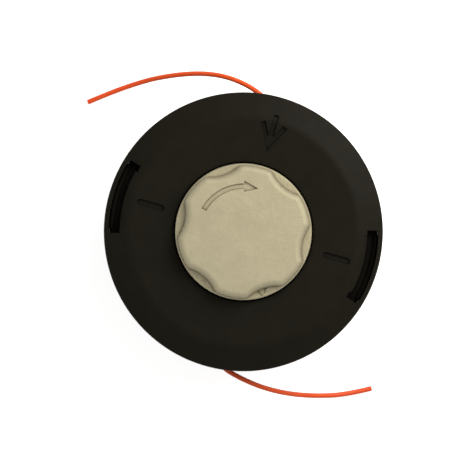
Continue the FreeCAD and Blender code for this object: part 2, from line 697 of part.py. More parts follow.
def mark_prisms():
    """Upright prisms with the plan of the cover's recessed marks."""
    body = new_body("mark_prisms")
    head = [
        ("pointer_tip", "0"),
        ("pointer_barb", "pointer_head_half"),
        ("pointer_barb + barb_step_along", "pointer_head_half - barb_step_across"),
        ("pointer_crotch", "pointer_half_stroke"),
        ("pointer_tail", "pointer_half_stroke"),
        ("pointer_tail", "- pointer_half_stroke"),
        ("pointer_crotch", "- pointer_half_stroke"),
        ("pointer_barb + barb_step_along", "barb_step_across - pointer_head_half"),
        ("pointer_barb", "- pointer_head_half"),
    ]
    height = f"dish_rise + rim_drop + 2 * {PAST}"
    where = {"lift": f"rim_height - dish_rise - {PAST}"}
    sketch = outline(body, "pointer_outline", "XY", head, turn="exit_angle", **where)
    pad(body, "pointer", sketch, height)

    bar = [
        ("grip_mark_start + grip_mark_half", "- grip_mark_half"),
        ("grip_mark_end - grip_mark_half", "- grip_mark_half"),
        ("grip_mark_end - grip_mark_half", "grip_mark_half"),
        ("grip_mark_start + grip_mark_half", "grip_mark_half"),
    ]
    sketch = outline(body, "grip_mark_outline", "XY", bar, turn="slot_angle", **where)
    around(body, "grip_marks", pad(body, "grip_mark", sketch, height), "2")
    for end, radius in (("inner", "grip_mark_start + grip_mark_half"),
                        ("outer", "grip_mark_end - grip_mark_half")):
        sketch = circle(body, f"{end}_end_circle", "XY", radius, "0", "grip_mark_half",
                        turn="slot_angle", **where)
        around(body, f"{end}_ends", pad(body, f"{end}_end", sketch, height), "2")
    return body


def mark_layer():
    """A layer that follows the cover's face, as thick as the marks are deep."""
    body = new_body("mark_layer")
    points = [
        ("cover_opening_radius", "face_height - mark_depth"),
        ("ridge_radius", "ridge_height - mark_depth"),
        ("cover_radius", "rim_height - mark_depth"),
        ("cover_radius", f"ridge_height + {PAST}"),
        ("cover_opening_radius", f"ridge_height + {PAST}"),
    ]
    revolve(body, "layer", outline(body, "layer_profile", "XZ", points))
    edge = rings(body.Shape, value["ridge_radius"], value["ridge_height"] - value["mark_depth"])
    soften(body, "layer_softened", edge, "ridge_round")
    return body


def lower_cover():
    """The cover with its marks cut to an even depth below its curved face."""
    marks = doc.addObject("Part::Common", "cover_marks")
    marks.Base = mark_prisms()
    marks.Tool = mark_layer()
    cover = doc.addObject("Part::Cut", "lower_cover")
    cover.Base = cover_shell()
    cover.Tool = marks
    doc.recompute()
    cuts.append((cover, cover.Base.Shape.Volume))
    return cover


def eyelet(name, angle):
    """A turned eyelet, flared at both ends, whose flange seats on the line exit's boss."""
    body = new_body(name)
    points = [
        ("eyelet_bore_radius", "eyelet_flare - eyelet_length"),
        ("eyelet_bore_radius + eyelet_flare", "- eyelet_length"),
        ("eyelet_radius", "- eyelet_length"),
        ("eyelet_radius", "0"),
        ("eyelet_flange_radius", "0"),
        ("eyelet_flange_radius", "eyelet_lip"),
        ("eyelet_flange_radius - eyelet_lip", "eyelet_flange_wall"),
        ("eyelet_bore_radius + eyelet_flare", "eyelet_flange_wall"),
        ("eyelet_bore_radius", "eyelet_flange_wall - eyelet_flare"),
    ]
    revolve(body, name + "_turning", outline(body, name + "_profile", "XZ", points))
    direction = math.radians(angle)
    outward = FreeCAD.Vector(math.cos(direction), math.sin(direction), 0)
    seat = outward * value["eyelet_seat"] + FreeCAD.Vector(0, 0, value["eyelet_height"])
    body.Placement = FreeCAD.Placement(
        seat, FreeCAD.Rotation(FreeCAD.Vector(0, 0, 1), outward)
    )
    return body


def arbor_nut():
    """The steel nut in the housing's pocket, with a collar that takes the clamping force."""
    body = new_body("arbor_nut")
    sketch = hexagon(body, "nut_outline", "nut_corner", "nut_floor")
    pad(body, "nut_blank", sketch, "nut_height")
    sketch = circle(body, "collar_circle", "XY", "0", "0", "collar_radius",
                    lift="collar_recess")
    pad(body, "collar", sketch, f"nut_floor + {SINK} - collar_recess")
    bore = [
        ("0", f"collar_recess - {PAST}"),
        ("nut_bore_radius", f"collar_recess - {PAST}"),
        ("nut_bore_radius", f"nut_top + {PAST}"),
        ("0", f"nut_top + {PAST}"),
    ]
    revolve(body, "nut_bore", outline(body, "nut_bore_profile", "XZ", bore), cut=True)
    ends = (
        ("lower", "nut_floor", "collar_recess", "+"),
        ("upper", "nut_top", "nut_top", "-"),
    )
    for end, face, mouth_face, inward in ends:
        corner = [
            ("nut_chamfer_start", face),
            (f"nut_corner + {PAST}", face),
            (f"nut_corner + {PAST}", f"{face} {inward} nut_bevel {inward} {PAST}"),
        ]
        sketch = outline(body, f"{end}_corner_profile", "XZ", corner)
        revolve(body, f"{end}_corner_bevel", sketch, cut=True)
        mouth = [
            (f"nut_bore_radius - {SINK}", mouth_face),
            ("nut_bore_radius + nut_bevel", mouth_face),
            ("nut_bore_radius", f"{mouth_face} {inward} nut_bevel"),
            (f"nut_bore_radius - {SINK}", f"{mouth_face} {inward} nut_bevel"),
        ]
        sketch = outline(body, f"{end}_mouth_profile", "XZ", mouth)
        revolve(body, f"{end}_mouth_bevel", sketch, cut=True)
    return body


def washer(name, hole, rim, base, top):
    """A flat washer about Z."""
    body = new_body(name)
    points = [(hole, base), (rim, base), (rim, top), (hole, top)]
    revolve(body, name + "_ring", outline(body, name + "_profile", "XZ", points))
    return body


def bump_spring():
    """A compression spring whose ends are ground flat."""
    body = new_body("bump_spring")
    wire = circle(body, "wire_circle", "XZ", "spring_radius", "seat_top", "spring_wire_radius")
    coils = body.newObject("PartDesign::AdditiveHelix", "coils")
    coils.Profile = wire
    coils.ReferenceAxis = (wire, ["V_Axis"])
    coils.Mode = "pitch-height-angle"
    coils.setExpression("Pitch", reference("spring_pitch"))
    coils.setExpression("Height", reference("spring_length"))
    keep(body, coils)
    for end, face, away in (("lower", "seat_top", "-"), ("upper", "washer_base", "+")):
        waste = [
            ("0", face),
            (f"spring_radius + spring_wire_radius + {PAST}", face),
            (f"spring_radius + spring_wire_radius + {PAST}", f"{face} {away} 2"),
            ("0", f"{face} {away} 2"),
        ]
        sketch = outline(body, f"{end}_grind_profile", "XZ", waste)
        revolve(body, f"{end}_ground_end", sketch, cut=True)
    return body


def spool():
    """The spool: two line chambers on a cored hub, with ratchet teeth at both ends."""
    body = new_body("spool")
    points = [
        ("sleeve_bore", "spool_base"),
        ("sleeve_outer", "spool_base"),
        ("sleeve_outer", "web_base"),
        ("core_inner", "web_base"),
        ("core_inner", "spool_base"),
        ("spool_radius", "spool_base"),
        ("spool_radius", "lower_chamber"),
        ("spool_core_radius", "lower_chamber"),
        ("spool_core_radius", "middle_flange"),
        ("spool_radius", "middle_flange"),
        ("spool_radius", "upper_chamber"),
        ("spool_core_radius", "upper_chamber"),
        ("spool_core_radius", "upper_flange"),
        ("spool_radius", "upper_flange"),
        ("spool_radius", "spool_top"),
        ("screw_hole_wide", "spool_top"),
        ("screw_hole_wide", "web_base"),
        ("sleeve_bore", "web_base"),
    ]
    revolve(body, "hub", outline(body, "hub_profile", "XZ", points))
    web = [
        (f"sleeve_outer - {SINK}", "spool_base + spool_flange"),
        (f"core_inner + {SINK}", "spool_base + spool_flange"),
        (f"core_inner + {SINK}", f"web_base + {SINK}"),
        (f"sleeve_outer - {SINK}", f"web_base + {SINK}"),
    ]
    rib = pad(body, "hub_rib", outline(body, "hub_rib_profile", "XZ", web),
              "spool_rib_wall", both_ways=True)
    around(body, "hub_ribs", rib, "spool_rib_count")
    ratchet(body, "upper", f"spool_top - {SINK}", "spool_top + tooth_height", "-",
            "spool_tooth_angle", "spool_tooth_count")
    ratchet(body, "lower", f"spool_base + {SINK}", "spool_foot", "-",
            "spool_tooth_angle", "spool_tooth_count")
    return body


def wound_line(name, chamber):
    """The line wound in one chamber, its outer layer showing turn beside turn."""
    body = new_body(name)
    points = [
        ("spool_core_radius + line_slack", f"{chamber} + line_slack"),
        ("wound_core", f"{chamber} + line_slack"),
        ("wound_core", f"{chamber} + chamber_width - line_slack"),
        ("spool_core_radius + line_slack", f"{chamber} + chamber_width - line_slack"),
    ]
    revolve(body, name + "_winding", outline(body, name + "_profile", "XZ", points))
    sketch = circle(body, name + "_turn_circle", "XZ", "wound_core",
                    f"{chamber} + line_slack + wound_bead", "wound_bead")
    turn = revolve(body, name + "_turn", sketch)
    row = body.newObject("PartDesign::LinearPattern", name + "_turns")
    row.Originals = [turn]
    row.Direction = (origin_feature(body, "Z_Axis"), [""])
    row.setExpression("Length", reference("wound_pitch * (turns_across - 1)"))
    row.setExpression("Occurrences", reference("turns_across"))
    keep(body, row)
    return body


def knob_screw():
    """The socket screw that holds the knob on the spool."""
    body = new_body("knob_screw")
    points = [
        ("0", "screw_head_base"),
        ("screw_head_radius", "screw_head_base"),
        ("screw_head_radius", "washer_base"),
        ("screw_radius", "washer_base"),
        ("screw_radius", "screw_end"),
        ("0", "screw_end"),
    ]
    revolve(body, "screw_turning", outline(body, "screw_profile", "XZ", points))
    sketch = hexagon(body, "socket_outline", "screw_socket_corner", "screw_head_base")
    pocket(body, "screw_socket", sketch, "screw_socket_depth", backwards=True)
    return body


def bump_knob():
    """The cast knob: a round flange, a six-lobed crown and a ribbed underside."""
    body = new_body("bump_knob")
    points = [
        ("knob_cavity", "spool_top"),
        ("knob_radius", "spool_top"),
        ("knob_radius", "knob_flange"),
        ("lobe_radius", "knob_flange"),
        ("lobe_radius", "knob_top"),
        ("0", "knob_top"),
        ("0", "screw_end + screw_clearance"),
        ("screw_hole_radius", "screw_end + screw_clearance"),
        ("screw_hole_radius", "spool_top"),
        ("knob_boss_radius", "spool_top"),
        ("knob_boss_radius", "crown_ceiling"),
        ("crown_cavity", "crown_ceiling"),
        ("crown_cavity", "knob_shoulder"),
        ("knob_cavity", "knob_shoulder"),
    ]
    revolve(body, "knob_casting", outline(body, "knob_profile", "XZ", points))
    edge = rings(body.Shape, value["knob_radius"], value["knob_flange"])
    soften(body, "flange_softened", edge, "flange_round")
    rib_points = [
        (f"knob_boss_radius - {SINK}", "knob_rib_foot"),
        (f"knob_cavity + {SINK}", "knob_rib_foot"),
        (f"knob_cavity + {SINK}", f"knob_shoulder + {SINK}"),
        (f"crown_cavity + {SINK}", f"knob_shoulder + {SINK}"),
        (f"crown_cavity + {SINK}", f"crown_ceiling + {SINK}"),
        (f"knob_boss_radius - {SINK}", f"crown_ceiling + {SINK}"),
    ]
    sketch = outline(body, "knob_rib_profile", "XZ", rib_points, turn="scallop_angle")
    rib = pad(body, "knob_rib", sketch, "knob_rib_wall", both_ways=True)
    around(body, "knob_ribs", rib, "knob_rib_count")

    centre_across, centre_up = polar("scallop_centre", "scallop_angle")
    sketch = circle(body, "scallop_circle", "XY", centre_across, centre_up, "scallop_round",
                    lift="knob_top")
    scallop = pocket(body, "scallop", sketch, "knob_crown")
    around(body, "scallops", scallop, "lobe_count")
    soften(body, "lobes_softened", lobe_edges(body.Shape), "lobe_round")
    soften(body, "crown_softened", crown_edges(body.Shape), "crown_round")

    band = [
        ("turn_mark_inner", "turn_mark_floor"),
        ("turn_mark_outer", "turn_mark_floor"),
        ("turn_mark_outer", f"knob_top + {PAST}"),
        ("turn_mark_inner", f"knob_top + {PAST}"),
    ]
    sketch = outline(body, "turn_mark_band", "XZ", band, turn="turn_mark_middle")
    revolve(body, "turn_mark_shaft", sketch, "turn_mark_span", cut=True)
    head = [
        polar("turn_mark_radius - turn_mark_barb", "turn_mark_neck"),
        polar("turn_mark_radius", "turn_mark_head"),
        polar("turn_mark_radius + turn_mark_barb", "turn_mark_neck"),
    ]
    sketch = outline(body, "turn_mark_head_outline", "XY", head, lift="knob_top")
    pocket(body, "turn_mark_point", sketch, "turn_mark_depth")
    return body


def lobe_edges(shape):
    """The upright edges where a scallop meets a lobe."""
    names = []
    for index, edge in enumerate(shape.Edges, start=1):
        ends = [vertex.Point for vertex in edge.Vertexes]
        if len(ends) != 2 or not isinstance(edge.Curve, Part.Line):
            continue
        upright = math.hypot(ends[0].x - ends[1].x, ends[0].y - ends[1].y) < NEAR
        on_lobe = abs(math.hypot(ends[0].x, ends[0].y) - value["lobe_radius"]) < NEAR
        if upright and on_lobe:
            names.append(f"Edge{index}")
    return names


def crown_edges(shape):
    """The edges round the top of the crown."""
    names = []
    for index, edge in enumerate(shape.Edges, start=1):
        box = edge.BoundBox
        flat = abs(box.ZMin - value["knob_top"]) < NEAR and box.ZLength < NEAR
        if flat:
            names.append(f"Edge{index}")
    return names


def cord_path(points):
    """Straight runs joined by tangent arcs, and the radius of each arc."""
    corners = [FreeCAD.Vector(*point) for point in points]
    edges = []
    radii = []
    start = corners[0]
    for before, corner, after in zip(corners, corners[1:], corners[2:]):
        back = (before - corner).normalize()
        ahead = (after - corner).normalize()
        turn = math.pi - back.getAngle(ahead)
        shorter = min((before - corner).Length, (after - corner).Length)
        reach = ARC_SHARE * shorter
        radius = reach / math.tan(turn / 2)
        bisector = (back + ahead).normalize()
        middle = corner + bisector * (radius / math.cos(turn / 2) - radius)
        edges.append(Part.LineSegment(start, corner + back * reach).toShape())
        arc = Part.Arc(corner + back * reach, middle, corner + ahead * reach)
        edges.append(arc.toShape())
        start = corner + ahead * reach
        radii.append(radius)
    edges.append(Part.LineSegment(start, corners[-1]).toShape())
    return Part.Wire(edges), radii


def line_end(name, points):
    """A free end of the cutting line: a round tube along its path."""
    path, radii = cord_path(points)
    radius = value["line_radius"]
    start = FreeCAD.Vector(*points[0])
    heading = FreeCAD.Vector(*points[1]) - start
    section = Part.Wire([Part.makeCircle(radius, start, heading)])
    tube = path.makePipeShell([section], True, False)
    expected = math.pi * radius ** 2 * path.Length
    if abs(tube.Volume / expected - 1) > 0.01:
        raise ValueError(f"{name}: volume {tube.Volume:.1f}, expected {expected:.1f}")
    print(name, "length", round(path.Length, 1), "radii", [round(bend, 1) for bend in radii])
    line = doc.addObject("Part::Feature", name)
    line.Label = name
    line.Shape = tube
    line.Placement = FreeCAD.Placement()
    return line


def check_document():
    """Stop on a failed object or on a cut that removed nothing."""
    for item in doc.Objects:
        if "Invalid" in item.State or "Error" in item.State:
            raise ValueError(f"{item.Label} failed: {item.State}")
    for feature, before in cuts:
        if feature.Shape.Volume > before - 0.01:
            raise ValueError(f"{feature.Label} cut nothing")


def export(pieces):
    """Write each sound piece to its own file."""
    check_document()
    for piece in pieces:
        shape = piece.Shape
        if shape.isNull() or not shape.isValid():
            raise ValueError(f"{piece.Label} has no sound shape")
        if len(shape.Solids) != 1:
            raise ValueError(f"{piece.Label} has {len(shape.Solids)} solids")
    for piece in pieces:
        piece.Shape.exportStep(f"parts/{piece.Label}.step")
        print(piece.Label, round(piece.Shape.Volume, 1))


fill_sheet()
fill_places()
export([
    upper_housing(),
    lower_cover(),
    eyelet("eyelet_front", value["exit_angle"]),
    eyelet("eyelet_rear", value["exit_angle"] + 180),
    arbor_nut(),
    washer("spring_seat", "seat_hole_radius", "seat_radius", "seat_base", "seat_top"),
    bump_spring(),
    spool(),
    wound_line("wound_line_lower", "lower_chamber"),
    wound_line("wound_line_upper", "upper_chamber"),
    washer("knob_washer", "screw_hole_wide", "seat_radius", "washer_base", "web_base"),
    knob_screw(),
    bump_knob(),
    line_end("line_end_front", LINE_END_FRONT),
    line_end("line_end_rear", LINE_END_REAR),
])
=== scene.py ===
import json
import math

import bmesh
import bpy
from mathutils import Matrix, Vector


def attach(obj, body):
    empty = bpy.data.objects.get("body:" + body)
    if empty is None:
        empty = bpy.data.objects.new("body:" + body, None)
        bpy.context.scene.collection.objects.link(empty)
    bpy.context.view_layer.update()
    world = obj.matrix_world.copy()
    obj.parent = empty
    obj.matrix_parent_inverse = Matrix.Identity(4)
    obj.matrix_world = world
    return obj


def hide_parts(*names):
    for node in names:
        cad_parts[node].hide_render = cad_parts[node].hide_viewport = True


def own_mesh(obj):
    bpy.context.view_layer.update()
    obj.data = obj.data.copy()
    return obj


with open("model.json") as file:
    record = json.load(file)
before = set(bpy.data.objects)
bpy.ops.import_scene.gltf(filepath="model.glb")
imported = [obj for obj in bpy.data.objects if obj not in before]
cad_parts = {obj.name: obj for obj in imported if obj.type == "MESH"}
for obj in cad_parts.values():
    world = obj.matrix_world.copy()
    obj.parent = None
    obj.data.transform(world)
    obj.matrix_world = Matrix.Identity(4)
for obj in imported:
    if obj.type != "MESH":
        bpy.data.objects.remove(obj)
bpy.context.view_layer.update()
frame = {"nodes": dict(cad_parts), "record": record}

# A bump-feed trimmer head seen from straight above, with its knob up.
# All sizes are in metres, in the frame of the CAD model.

MM = 0.001

# The camera looks straight down from this height, from a little beside the spin axis.
CAMERA_HEIGHT = 0.626
CAMERA_AIM = (-0.0039, -0.0015)
CAMERA_LENS = 95.95
CAMERA_SENSOR = 36.0
CAMERA_CLIP_START = 0.05
CAMERA_CLIP_END = 20

# A square soft lamp at the upper right of the view.
KEY_PLACE = (0.24, 0.22, 0.38)
KEY_TARGET = (0, 0, 0.04)
KEY_SIZE = 0.34
KEY_POWER = 2.26
KEY_COLOUR = (1.0, 0.97, 0.90)

# The world is white to the camera and to gloss, and this bright to matte surfaces.
WORLD_COLOUR = (1.0, 0.99, 0.97, 1.0)
WORLD_LIGHT = 0.275

# The floor lies just below the part. Its glow and the light on it add up to white.
FLOOR_HALF = 3.0
FLOOR_DROP = 0.05 * MM
FLOOR_COLOUR = (0.9, 0.9, 0.9, 1.0)
FLOOR_ROUGHNESS = 0.9
FLOOR_GLOW = 0.8

# The free ends of the line, the same routes as in the part's source.
LINE_RADIUS = 1.2 * MM
LINE_END_FRONT = [
    (13.2, 46.1, 26.0),
    (15.2, 53.0, 26.0),
    (13.7, 59.9, 25.9),
    (9.2, 65.4, 25.4),
    (1.9, 70.7, 23.9),
    (-9.4, 75.6, 20.4),
    (-23.2, 77.6, 14.9),
    (-40.2, 76.5, 8.4),
    (-53.1, 73.8, 3.4),
    (-67.0, 69.1, 1.4),
    (-77.3, 64.7, 1.25),
]
LINE_END_REAR = [
    (-13.2, -46.1, 26.0),
    (-15.2, -53.0, 26.0),
    (-13.7, -60.0, 25.9),
    (-9.1, -65.6, 25.4),
    (-1.4, -70.3, 23.8),
    (9.5, -75.4, 20.1),
    (22.5, -79.2, 14.0),
    (36.5, -81.1, 6.8),
    (51.3, -81.0, 2.1),
    (64.1, -78.0, 1.25),
]
LINE_BEVEL_STEPS = 6
LINE_STEPS_PER_POINT = 16

# The left-hand M10 x 1.25 thread in the nut. Its flats are shares of the pitch.
THREAD_CORE = 4.35 * MM
THREAD_DEPTH = 0.62 * MM
THREAD_PITCH = 1.25 * MM
THREAD_CREST_FLAT = 0.125
THREAD_ROOT_FLAT = 0.25
THREAD_START = 1.0 * MM
THREAD_END = 13.3 * MM
THREAD_RUN_OUT = 0.6 * MM
THREAD_ROWS_PER_TURN = 12

# Vertices nearer than this to the core are on it, and nearer than the second are one.
ON_CORE = 0.01 * MM
SAME_PLACE = 0.001 * MM

# Two small cast ridges on the knob's flange, each from one end to the other.
FLANGE_FACE = 49.5 * MM
CAST_RIDGES = [
    ((6.1, -27.0), (8.8, -29.4)),
    ((10.2, -26.2), (9.7, -28.0)),
]
RIDGE_HALF_WIDTH = 0.40 * MM
RIDGE_HEIGHT = 0.60 * MM
RIDGE_SINK = 0.1 * MM

# Colours of the painted shade in creases and recesses, and the share of open sky
# from which a surface keeps its own colour.
PLASTIC_SHADE = (0.0030, 0.0026, 0.0020, 1.0)
ALUMINIUM_SHADE = (0.15, 0.105, 0.055, 1.0)
OPEN_SKY = 0.90

# The moulded plastics. Colours are as they look on screen, 0 to 255. Shade is painted
# into a surface's colour where its share of open sky within reach falls: at closed it is
# as dark as the crease shade.
PLASTICS = {
    "cover_plastic": {
        "dark": (25, 23, 16), "pale": (29, 27, 20),
        "roughness": 0.48, "specular": 0.05, "reach": 3.0 * MM, "closed": 0.40,
    },
    # The housing's long reach paints deep shade into what shows through the cover's
    # slots.
    "housing_plastic": {
        "dark": (28, 26, 21), "pale": (34, 31, 26),
        "roughness": 0.55, "specular": 0.02, "reach": 9.0 * MM, "closed": 0.55,
    },
    "spool_plastic": {
        "dark": (26, 25, 23), "pale": (33, 31, 28),
        "roughness": 0.45, "specular": 0.30, "reach": 3.0 * MM, "closed": 0.40,
    },
}

# The steels, with the depth of their fine scratches.
STEELS = {
    "eyelet_steel": {
        "dark": (108, 108, 108), "pale": (130, 130, 128),
        "roughness": 0.34, "scratch": 0.010 * MM,
    },
    "plated_steel": {
        "dark": (144, 139, 124), "pale": (166, 161, 144),
        "roughness": 0.36, "scratch": 0.012 * MM,
    },
    "spring_steel": {
        "dark": (126, 126, 126), "pale": (148, 148, 146),
        "roughness": 0.32, "scratch": 0.010 * MM,
    },
}

# Edges sharper than this stay sharp when a surface is shaded smooth.
CREASE_ANGLE = math.radians(28)

# Rays sent out at each point to round the edges and to find the creases.
EDGE_SAMPLES = 6
CREASE_SAMPLES = 8


def new_material(name):
    """An empty node material and its Principled shader."""
    material = bpy.data.materials.new(name)
    material.use_nodes = True
    shader = material.node_tree.nodes["Principled BSDF"]
    return material, shader


def linear(red, green, blue):
    """A colour given as it looks on screen, 0 to 255, for a shader's socket."""
    def channel(level):
        share = level / 255
        return share / 12.92 if share <= 0.04045 else ((share + 0.055) / 1.055) ** 2.4
    return (channel(red), channel(green), channel(blue), 1.0)


def surface_position(tree):
    """The point on the surface, in metres in the piece's own frame."""
    return tree.nodes.new("ShaderNodeTexCoord").outputs["Object"]


def noise(tree, size, detail, roughness, stretch=None):
    """Noise whose features are about size across, in metres."""
    texture = tree.nodes.new("ShaderNodeTexNoise")
    texture.inputs["Scale"].default_value = 1.0 / size
    texture.inputs["Detail"].default_value = detail
    texture.inputs["Roughness"].default_value = roughness
    source = surface_position(tree)
    if stretch:
        mapping = tree.nodes.new("ShaderNodeMapping")
        mapping.inputs["Scale"].default_value = stretch
        tree.links.new(source, mapping.inputs["Vector"])
        source = mapping.outputs["Vector"]
    tree.links.new(source, texture.inputs["Vector"])
    return texture.outputs["Fac"]


def tinted(tree, value, low, high, dark, pale):
    """Turns a value into a colour: dark below low, pale above high, blended between."""
    node = tree.nodes.new("ShaderNodeValToRGB")
    first, last = node.color_ramp.elements
    first.position = low
    first.color = linear(*dark)
    last.position = high
    last.color = linear(*pale)
    tree.links.new(value, node.inputs["Fac"])
    return node.outputs["Color"]


def scaled(tree, value, low, high):
    """Maps a value from 0..1 to low..high."""
    node = tree.nodes.new("ShaderNodeMapRange")
    node.inputs["To Min"].default_value = low
    node.inputs["To Max"].default_value = high
    tree.links.new(value, node.inputs["Value"])
    return node.outputs["Result"]


def bump(tree, height, depth, normal=None):
    """A bump of that depth, in metres, on top of another normal if one is given."""
    node = tree.nodes.new("ShaderNodeBump")
    node.inputs["Strength"].default_value = 1.0
    node.inputs["Distance"].default_value = depth
    tree.links.new(height, node.inputs["Height"])
    if normal is not None:
        tree.links.new(normal, node.inputs["Normal"])
    return node.outputs["Normal"]


def soft_edges(tree, radius):
    """A normal that rounds sharp edges to a small radius."""
    node = tree.nodes.new("ShaderNodeBevel")
    node.samples = EDGE_SAMPLES
    node.inputs["Radius"].default_value = radius
    return node.outputs["Normal"]


def painted_crease_shade(tree, colour, shade_colour, reach, closed):
    """Painted shade: the colour, turning to the given dark colour where things within
    reach leave little open sky.
    """
    shade = tree.nodes.new("ShaderNodeAmbientOcclusion")
    shade.samples = CREASE_SAMPLES
    shade.inputs["Distance"].default_value = reach
    open_share = tree.nodes.new("ShaderNodeMapRange")
    open_share.inputs["From Min"].default_value = closed
    open_share.inputs["From Max"].default_value = OPEN_SKY
    mix = tree.nodes.new("ShaderNodeMixRGB")
    mix.inputs["Color1"].default_value = shade_colour
    tree.links.new(shade.outputs["AO"], open_share.inputs["Value"])
    tree.links.new(open_share.outputs["Result"], mix.inputs["Fac"])
    tree.links.new(colour, mix.inputs["Color2"])
    return mix.outputs["Color"]


def moulded_plastic(name, dark, pale, roughness, specular, reach, closed):
    """Matte black glass-filled nylon: uneven tone, fine mould grain, soft edges, painted
    shade in creases.
    """
    material, shader = new_material(name)
    tree = material.node_tree
    tone = noise(tree, size=9 * MM, detail=5.0, roughness=0.62)
    colour = tinted(tree, tone, low=0.30, high=0.70, dark=dark, pale=pale)
    # Painted shade: near black in slots, grooves and creases.
    colour = painted_crease_shade(tree, colour, PLASTIC_SHADE, reach, closed)
    tree.links.new(colour, shader.inputs["Base Color"])
    patches = noise(tree, size=4 * MM, detail=4.0, roughness=0.6)
    sheen = scaled(tree, patches, low=roughness - 0.07, high=roughness + 0.07)
    tree.links.new(sheen, shader.inputs["Roughness"])
    shader.inputs["Specular IOR Level"].default_value = specular
    grain = noise(tree, size=0.55 * MM, detail=3.0, roughness=0.6)
    normal = bump(tree, grain, depth=0.03 * MM, normal=soft_edges(tree, radius=0.45 * MM))
    tree.links.new(normal, shader.inputs["Normal"])
    return material


def cast_aluminium():
    """Blasted die-cast aluminium: warm, matte, finely pitted, with painted shade in its
    hollows.
    """
    material, shader = new_material("cast_aluminium")
    tree = material.node_tree
    tone = noise(tree, size=11 * MM, detail=4.0, roughness=0.55)
    colour = tinted(tree, tone, low=0.25, high=0.75,
                    dark=(163, 156, 132), pale=(171, 164, 140))
    # Painted shade: brown-dark in the crown's creases and other hollows.
    colour = painted_crease_shade(tree, colour, ALUMINIUM_SHADE, reach=1.6 * MM, closed=0.40)
    tree.links.new(colour, shader.inputs["Base Color"])
    shader.inputs["Metallic"].default_value = 1.0
    patches = noise(tree, size=2.5 * MM, detail=5.0, roughness=0.6)
    tree.links.new(scaled(tree, patches, low=0.68, high=0.76), shader.inputs["Roughness"])
    pits = noise(tree, size=0.45 * MM, detail=4.0, roughness=0.65)
    waves = noise(tree, size=3.2 * MM, detail=2.0, roughness=0.5)
    normal = bump(tree, pits, depth=0.12 * MM, normal=soft_edges(tree, radius=0.35 * MM))
    normal = bump(tree, waves, depth=0.14 * MM, normal=normal)
    tree.links.new(normal, shader.inputs["Normal"])
    return material


def nylon_line():
    """Orange extruded nylon with a fluorescent dye, slightly glossy, faintly uneven."""
    material, shader = new_material("nylon_line")
    tree = material.node_tree
    tone = noise(tree, size=6 * MM, detail=3.0, roughness=0.5)
    colour = tinted(tree, tone, low=0.30, high=0.70,
                    dark=(252, 88, 30), pale=(255, 98, 38))
    tree.links.new(colour, shader.inputs["Base Color"])
    shader.inputs["Roughness"].default_value = 0.42
    shader.inputs["Specular IOR Level"].default_value = 0.3
    shader.inputs["Subsurface Weight"].default_value = 0.3
    shader.inputs["Subsurface Radius"].default_value = (0.0012, 0.0004, 0.0002)
    shader.inputs["Subsurface Scale"].default_value = 1.0
    marks = noise(tree, size=0.35 * MM, detail=2.0, roughness=0.5)
    tree.links.new(bump(tree, marks, depth=0.015 * MM), shader.inputs["Normal"])
    return material


def steel(name, dark, pale, roughness, scratch):
    """Turned, drawn or zinc-plated steel with fine scratches."""
    material, shader = new_material(name)
    tree = material.node_tree
    tone = noise(tree, size=3 * MM, detail=4.0, roughness=0.6)
    colour = tinted(tree, tone, low=0.30, high=0.70, dark=dark, pale=pale)
    tree.links.new(colour, shader.inputs["Base Color"])
    shader.inputs["Metallic"].default_value = 1.0
    patches = noise(tree, size=1.5 * MM, detail=4.0, roughness=0.6)
    sheen = scaled(tree, patches, low=roughness - 0.08, high=roughness + 0.10)
    tree.links.new(sheen, shader.inputs["Roughness"])
    lines = noise(tree, size=0.5 * MM, detail=3.0, roughness=0.6, stretch=(1.0, 1.0, 7.0))
    normal = bump(tree, lines, depth=scratch, normal=soft_edges(tree, radius=0.15 * MM))
    tree.links.new(normal, shader.inputs["Normal"])
    return material


def make_materials():
    """The finish of every material slot in the record."""
    finishes = {name: moulded_plastic(name, **look) for name, look in PLASTICS.items()}
    finishes.update((name, steel(name, **look)) for name, look in STEELS.items())
    finishes["cast_aluminium"] = cast_aluminium()
    finishes["nylon_line"] = nylon_line()
    return finishes


def shade_smooth(mesh):
    """Smooth shading that keeps real edges sharp."""
    mesh.shade_smooth()
    mesh.set_sharp_from_angle(angle=CREASE_ANGLE)


def dress_nodes(materials):
    """Give every CAD node its finish."""
    for part in frame["record"]["subparts"]:
        piece = frame["nodes"][part["node"]]
        piece.data.materials.clear()
        piece.data.materials.append(materials[part["material_slot"]])
        shade_smooth(piece.data)


def line_end(name, route, material):
    """A free end of the nylon line along its route, as a round curve."""
    curve = bpy.data.curves.new(name, "CURVE")
    curve.dimensions = "3D"
    curve.bevel_depth = LINE_RADIUS
    curve.bevel_resolution = LINE_BEVEL_STEPS
    curve.resolution_u = LINE_STEPS_PER_POINT
    curve.use_fill_caps = True
    spline = curve.splines.new("NURBS")
    spline.points.add(len(route) - 1)
    for point, place in zip(spline.points, route):
        point.co = (*(Vector(place) * MM), 1.0)
    spline.order_u = 3
    spline.use_endpoint_u = True
    piece = bpy.data.objects.new(name + "_line", curve)
    bpy.context.scene.collection.objects.link(piece)
    curve.materials.append(material)
    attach(piece, "housing")
    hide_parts(name)


def new_piece(name, data, body, material):
    """A mesh as a piece that moves with a body and wears a slot's material."""
    shade_smooth(data)
    data.materials.clear()
    data.materials.append(material)
    piece = bpy.data.objects.new(name, data)
    bpy.context.scene.collection.objects.link(piece)
    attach(piece, body)
    return piece


def clamped(share):
    """The share, kept between 0 and 1."""
    return min(1.0, max(0.0, share))


def thread_radius(turn, height):
    """Radius of the threaded bore at an angle in turns and a height."""
    from_root = abs((height / THREAD_PITCH + turn) % 1.0 - 0.5)
    groove_edge = (1 - THREAD_CREST_FLAT) / 2
    flank_end = THREAD_ROOT_FLAT / 2
    depth_share = clamped((groove_edge - from_root) / (groove_edge - flank_end))
    to_end = min(height - THREAD_START, THREAD_END - height)
    return THREAD_CORE + THREAD_DEPTH * depth_share * clamped(to_end / THREAD_RUN_OUT)


def turn_of(vert):
    """A vertex's place round the axis, in turns from 0 to 1."""
    return round(math.atan2(vert.co.y, vert.co.x) / (2 * math.pi), 5) % 1.0


